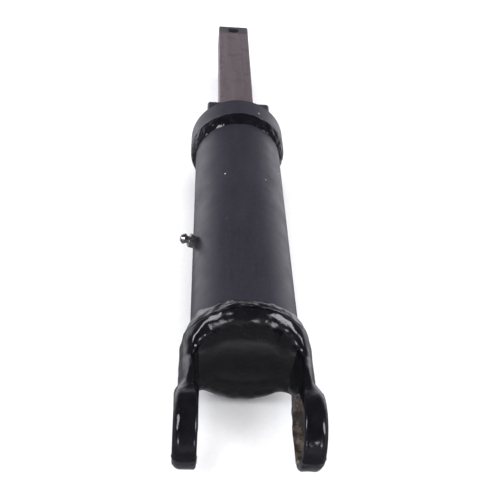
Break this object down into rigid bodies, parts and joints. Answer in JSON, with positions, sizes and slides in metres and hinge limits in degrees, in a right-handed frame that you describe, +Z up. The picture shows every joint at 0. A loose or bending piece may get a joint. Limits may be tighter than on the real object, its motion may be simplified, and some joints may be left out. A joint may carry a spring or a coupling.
{
  "type": "telescoping drive shaft half",
  "caption": "Forked universal-joint yoke welded to a round torque tube, with an end collar and a rectangular slip bar that slides in and out; greased from the side.",
  "frame": {"origin": "middle of the two coaxial cross bores of the yoke", "axes": "+X along the cross bores, +Y along the tube from the yoke towards the free end of the slip bar, +Z up, square to the bar's wide face"},
  "size_m": [0.0756, 0.4709, 0.0712],
  "materials": {
    "gloss_black_paint": "thick gloss black paint over a forging and weld beads",
    "satin_black_paint": "satin blue-black paint on steel tube",
    "bare_steel": "bare mill-finish steel bar, warm grey with lengthwise marks",
    "plated_steel": "bright plated steel",
    "felt": "oiled wool felt"
  },
  "bodies": {
    "fork_and_tube": {"yoke": "gloss_black_paint", "yoke_weld": "gloss_black_paint", "tube": "satin_black_paint", "collar": "satin_black_paint", "collar_weld": "gloss_black_paint", "guide_sleeve": "satin_black_paint", "guide_tack_welds": "gloss_black_paint", "bar_wiper": "felt", "nipple_body": "plated_steel", "nipple_spring": "plated_steel", "nipple_seat": "plated_steel"},
    "slip_bar": {"slip_bar": "bare_steel"},
    "check_ball": {"nipple_ball": "plated_steel"}
  },
  "joints": [
    {"name": "bar_slide", "type": "slide", "parent": "fork_and_tube", "child": "slip_bar", "axis": [0, 1, 0], "range_m": [-0.038, 0.12]},
    {"name": "check_ball_slide", "type": "slide", "parent": "fork_and_tube", "child": "check_ball", "axis": [0.9511, 0, -0.309], "range_m": [0, 0.0009], "stiffness_N_per_m": 300, "springref_m": -0.001, "deforming": ["nipple_spring"]}
  ]
}
